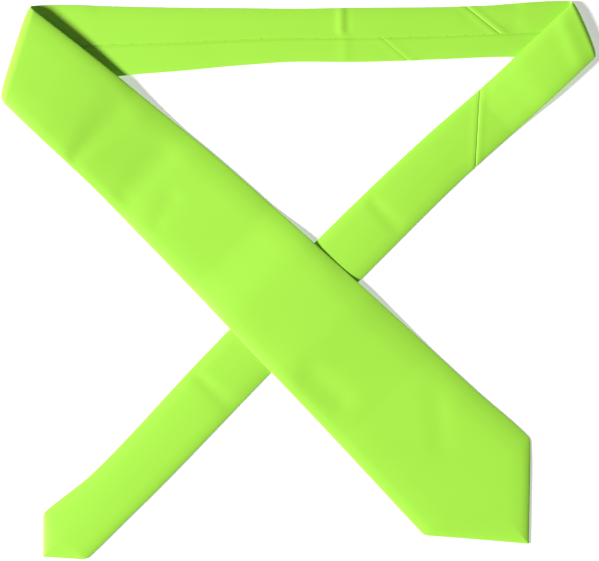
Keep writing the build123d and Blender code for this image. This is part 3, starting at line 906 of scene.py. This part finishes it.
def make_roll(side, centre, heading, outward, outer, shifts, halves, seam, nodes):
    """Satin and wool of one roll, bent between the band and the limb over it."""
    lie = roll(centre, heading, outward, outer, shifts)
    high_end = np.full(len(roll_rings), seam + flap_clear)
    low_end = np.full(len(roll_rings), seam + flap_tuck - flap_clear)

    def half_width(r):
        return halves[0] + (halves[1] - halves[0]) * r / math.pi

    satin = satin_piece(
        side + "_roll_satin", lie, roll_rings, half_width, high_end, low_end, lime_satin
    )[0]
    wool = wool_piece(
        side + "_roll_wool", lie, roll_rings, half_width(roll_rings), wool_press
    )[0]
    for piece, node, slot in ((satin, nodes[0], "lime_satin"), (wool, nodes[1], "interlining")):
        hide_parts(node)
        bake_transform(piece)
    return satin, wool


left_roll_satin, left_roll_wool = make_roll(
    "left",
    left_centre,
    left_heading,
    left_heading + 90,
    left_outer,
    left_shifts,
    left_halves,
    band_seam_offset,
    ("left_fold_cloth", "left_fold_interlining"),
)
right_roll_satin, right_roll_wool = make_roll(
    "right",
    right_centre,
    right_heading,
    right_heading - 90,
    right_outer,
    right_shifts,
    right_halves,
    band_seam_offset,
    ("right_fold_cloth", "right_fold_interlining"),
)

# ---------------- neck band, satin
# The middle of the tie, back up: the blade's cloth and the neck cloth, joined on the
# bias, with the upper flap slip-stitched over the lower one.
band_start = left_centre + left_shifts[0] * left_axis
band_end = right_centre + right_shifts[0] * right_axis
band_stations = [
    (*band_start, left_heading, left_halves[0]),
    (-126.7, 168.1, 90.0, 24.4),
    (-82.6, 169.6, 91.0, 22.1),
    (-45.0, 171.2, 92.0, 20.2),
    (0.0, 172.4, 91.5, 18.6),
    (37.0, 172.6, 91.5, 19.0),
    (97.4, 173.8, 92.0, 18.3),
    (127.4, 174.9, 92.5, 18.1),
    (155.0, 176.1, 94.0, 18.9),
    (*band_end, right_heading, right_halves[0]),
]
band_marks = [
    (29.6, 191.0, 29.6, 176.0, 2.8, 2.8, -0.7),
    (33.6, 190.0, 33.6, 176.0, 2.2, 2.2, 0.2),
    (32.0, 168.0, 32.0, 156.0, 4.0, 4.0, -0.25),
    (120.0, 186.0, 150.0, 180.0, 7.0, 7.0, 0.3),
    (150.0, 176.0, 168.0, 168.0, 6.0, 6.0, 0.2),
    (-140.0, 194.5, 150.0, 194.5, 6.0, 6.0, 0.5),
]
neck_seam_slope = -1.12
neck_seam_puff = 0.16


def flat_on_table(r):
    """The band's front lies on the table."""
    return 0 * r


band_lie, band_half, band_at = limb(band_stations, flat_on_table, False, band_marks)
band_length = band_at[-1]
neck_seam_at = band_at[5] + 59.3
blade_part_rings = fine_ends(0, neck_seam_at, 1.6, True, False)
blade_part_rings = np.concatenate(
    [blade_part_rings[:-4], neck_seam_at - np.linspace(5.6, 0, 15)[1:]]
)
after_seam = np.linspace(0, 4.4, 12)
neck_part_rings = fine_ends(neck_seam_at, band_length, 1.6, False, True)
neck_part_rings = np.concatenate([neck_seam_at + after_seam, neck_part_rings[4:]])


def band_ends(r):
    """Flap ends on the band: the seam a little below the middle all the way."""
    high_end = band_seam_offset + flap_clear
    return high_end + 0 * r, band_seam_offset + flap_tuck - flap_clear + 0 * r


def declare(piece, flat, area, node, slot, held, body, on, with_pieces=()):
    """The calls that a length of cloth needs to stand for its CAD node."""
    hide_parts(node)
    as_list(on)
    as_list(with_pieces)
    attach(piece, body)


def declare_satin(satin, node, *rest):
    """The same calls for a length of satin, which is folded."""
    declare(*satin, node, "lime_satin", "folded", *rest)


blade_part = satin_piece(
    "blade_satin_on_band",
    band_lie,
    blade_part_rings,
    band_half,
    *band_ends(blade_part_rings),
    lime_satin,
    [(True, neck_seam_slope, neck_seam_puff)],
)
declare_satin(blade_part, "blade_cloth_on_band", "neck_band", ["table"], [left_roll_satin])
neck_part = satin_piece(
    "neck_satin_on_band",
    band_lie,
    neck_part_rings,
    band_half,
    *band_ends(neck_part_rings),
    lime_satin,
    [(False, neck_seam_slope, neck_seam_puff * 1.4)],
)
declare_satin(neck_part, "neck_cloth_on_band", "neck_band", ["table"], [right_roll_satin])

# ---------------- neck band, filling and seams
# The blade's and the tail's interlinings lap in the neck and are zigzagged together.
# The bias seam is machine sewn, and the long slip stitch shows as small dips.
lap_middle = band_at[4] + 29.3
lap_half = 1.5
machine_pitch = 2.2
machine_length = 1.3
machine_bury = 0.06
edge_free = 3.0


def declare_wool(wool, node, body, on, *rest):
    """The calls for a length of interlining, which is laid in."""
    declare(*wool, node, "interlining", "laid", body, [on], *rest)


def neck_wool(name, first, last, spacing):
    """Interlining of the band between two distances."""
    rings = fine_ends(first, last, spacing)
    half = band_half(rings)
    return wool_piece(
        name, band_lie, rings, half, wool_press
    )


wool_lap = neck_wool("wool_lap", lap_middle - lap_half, lap_middle + lap_half, 0.6)[0]
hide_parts("interlining_lap")
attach(wool_lap, "neck_band")
blade_neck_wool = neck_wool("blade_wool_in_neck", 0, lap_middle - lap_half, 4.0)
declare_wool(
    blade_neck_wool,
    "blade_interlining_in_neck",
    "neck_band",
    "blade_satin_on_band",
    [wool_lap, left_roll_wool],
)
tail_neck_wool = neck_wool("tail_wool_in_neck", lap_middle + lap_half, band_length, 4.0)
declare_wool(
    tail_neck_wool,
    "tail_interlining_in_neck",
    "neck_band",
    "neck_satin_on_band",
    [right_roll_wool],
)


def seam_row(name, lie, half_width, ends_at, seam_at, slope, finish):
    """Machine stitches just seen in a bias seam: even short threads down in the dive, along
    the seam's straight line round the tie, front and back. Lengths round the tie count from
    the middle of the front, and are less than nought towards the high flap."""
    half = float(half_width(seam_at))
    high_end, low_end = (float(v) for v in ends_at(np.array(seam_at)))
    side = half - edge_free
    front = np.arange(-side, side, machine_pitch)
    high = np.arange(high_end + 1.0, side, machine_pitch)
    low = np.arange(-side, high_end - edge_free, machine_pitch)
    a = np.concatenate([front, high, low])
    around = np.concatenate([-front, high - 2 * half, 2 * half + low])
    on_front = np.arange(len(a)) < len(front)
    full = crown(half - np.abs(a))
    down = middle_depth * (1 - full) + seam_dive + machine_bury
    up = middle_depth + (tie_thick - middle_depth) * full - seam_dive - machine_bury
    depth = np.where(on_front, down, up)
    step = np.where(on_front, machine_length, -machine_length)
    starts = lie(seam_at + slope * around, a, depth)
    ends = lie(seam_at + slope * (around - machine_length), a + step, depth)
    return sew(name, starts, ends, np.array([0, 0, 0.02]), finish, buried_thread)


neck_seam = seam_row(
    "neck_seam", band_lie, band_half, band_ends, neck_seam_at, neck_seam_slope, thread
)
sewn(neck_seam, "blade_neck_seam", "neck_band")


def band_seam(r):
    """Offset of the band's closed seam."""
    return band_seam_offset + 0 * r


band_slip = slip_row(
    "neck_closing_stitches", band_lie, 8, band_length - 4, band_seam, True, thread
)
sewn(band_slip, "slip_stitch_in_neck", "neck_band")

# ---------------- tail, satin
# The narrow end: the neck cloth runs on over the fold to a second bias seam, and the
# tail's own cloth from there to its short point, with a smaller opening behind.
tail_start = right_centre + right_shifts[1] * right_axis
tail_stations = [
    (*tail_start, right_heading, right_halves[1]),
    (146.9, 126.9, 131.5, 19.3),
    (101.9, 87.1, 133.0, 19.7),
    (37.5, 24.7, 133.8, 20.6),
    (-53.7, -68.8, 133.5, 21.0),
    (-129.8, -148.0, 133.2, 20.1),
    (-164.3, -178.8, 133.2, 22.15),
    (-179.5, -193.0, 133.2, 22.15),
]
tail_wide = tail_stations[-2][3]
tail_opening = 70.0
tail_margin = 5.0
tail_seam_fade = 90
tail_tip_rings = 3.0
tail_marks = [
    (-71.4, -65.9, -48.3, -88.0, 4, 6, 0.45),
    (52.0, 55.3, 67.2, 38.9, 4, 6, 0.45),
    (120.0, 68.0, -38.0, -86.0, 9, 9, 0.6),
    (180.0, 190.0, 196.0, 153.0, 6.0, 6.0, -0.55),
]
tail_seam_slope = 1.0
tail_seam_puff = 0.14


def tail_rise(r):
    """Height of the tail's underside: over the neck at the fold, then down to the table."""
    height = through(r, [-1, 0, 22, 44, 66, 89, 540], [5.2, 5.2, 4.9, 3.9, 1.6, 0, 0])
    return np.maximum(height, rest_height)


tail_lie, tail_side_half, tail_at = limb(tail_stations, tail_rise, True, tail_marks)
tail_shoulder, tail_length = tail_at[-2:]
tail_apex = tail_length - tail_opening
tail_seam_at = tail_at[1] + 29.5


def tail_half(r):
    """Half width of the tail, point and all."""
    return pointed(tail_side_half(r), r, tail_shoulder, tail_length, tail_wide)


def tail_gap_at(r):
    """Half width of the tail's back opening."""
    return opening(r, tail_apex, tail_shoulder, tail_length, tail_wide, tail_margin)


def tail_ends(r):
    """Flap ends on the tail."""
    return flap_ends(r, tail_apex, tail_gap_at(r), band_seam_offset, tail_seam_fade)


neck_tail_rings = fine_ends(0, tail_seam_at, 1.6, True, False)
neck_tail_rings = np.concatenate([neck_tail_rings[:-4], tail_seam_at - np.linspace(5.0, 0, 14)[1:]])
neck_on_tail = satin_piece(
    "neck_satin_on_tail",
    tail_lie,
    neck_tail_rings,
    tail_side_half,
    *tail_ends(neck_tail_rings),
    lime_satin,
    [(True, tail_seam_slope, tail_seam_puff)],
)
declare_satin(neck_on_tail, "neck_cloth_on_tail", "tail", ["neck_satin_on_band", "table"])
tail_rings = np.concatenate(
    [
        tail_seam_at + after_seam,
        np.arange(tail_seam_at + 6, tail_shoulder - corner_rings, 2.4),
        np.linspace(tail_shoulder - corner_rings, tail_shoulder + corner_rings, 12)[:-1],
        np.linspace(tail_shoulder + corner_rings, tail_length - tail_tip_rings, 14)[:-1],
        tail_length - tail_tip_rings * np.linspace(1, 0, 9) ** 1.5,
    ]
)
tail_satin = satin_piece(
    "tail_satin",
    tail_lie,
    tail_rings,
    tail_half,
    *tail_ends(tail_rings),
    lime_satin,
    [(False, tail_seam_slope, tail_seam_puff)],
)
declare_satin(tail_satin, "tail_cloth", "tail", ["table"])

# ---------------- tail, filling, lining and seams
# The same wool, lining and hand stitches as the blade, at the tail's size, with a small
# blank care label caught to the lining.
tail_lining_lap = 8.0
tail_lining_end = 5.0
care_near = tail_length - tail_opening + 26.0
care_far = care_near + 18.0
care_half = 6.5

tail_wool_rings = fine_ends(0, tail_length - 10, 4.0)
tail_wool = wool_piece(
    "tail_wool",
    tail_lie,
    tail_wool_rings,
    tail_half(tail_wool_rings),
    seam_press(tail_wool_rings, tail_apex),
)
declare_wool(tail_wool, "tail_interlining", "tail", "tail_satin")
tail_lining_rings = np.linspace(tail_apex - tail_lining_lap, tail_length - tail_lining_end, 50)
tail_lining, tail_lining_flat, tail_lining_area = layer_piece(
    "tail_lining",
    tail_lie,
    tail_lining_rings,
    tail_half(tail_lining_rings),
    lining_inset,
    lining_depth,
    lining_cloth,
)
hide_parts("tail_tipping")
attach(tail_lining, "tail")


def tail_seam_offset(r):
    """Offset of the tail's closed seam from its middle line."""
    return band_seam_offset * (1 - ease(r, 0, tail_seam_fade))


tail_hem = hem_row("tail_lining_stitches", tail_lie, tail_apex, tail_length - 9, tail_gap_at)
tail_slip = slip_row(
    "tail_closing_stitches", tail_lie, 6, tail_apex - 4, tail_seam_offset, False, thread
)
tail_tack = bar_tack("tail_end_tack", tail_lie, tail_apex, thread)
tail_seam = seam_row(
    "tail_seam", tail_lie, tail_side_half, tail_ends, tail_seam_at, tail_seam_slope, thread
)
for piece, node in (
    (tail_hem, "tail_tipping_stitches"),
    (tail_slip, "tail_slip_stitch"),
    (tail_tack, "tail_bar_tack"),
    (tail_seam, "neck_tail_seam"),
):
    sewn(piece, node, "tail")


def lying_on_lining(a):
    """Depth of something that lies on the tail's lining."""
    return tie_thick - lining_depth + 0.04 + 0 * a


add_label(
    "blank_care_label",
    "care_label",
    "tail",
    "tail_lining",
    tail_lie,
    (care_near, care_far),
    care_half,
    lying_on_lining,
    0.2,
    (1.0, 1.2),
    tie_thick - lining_depth + 0.26,
    count=15,
)
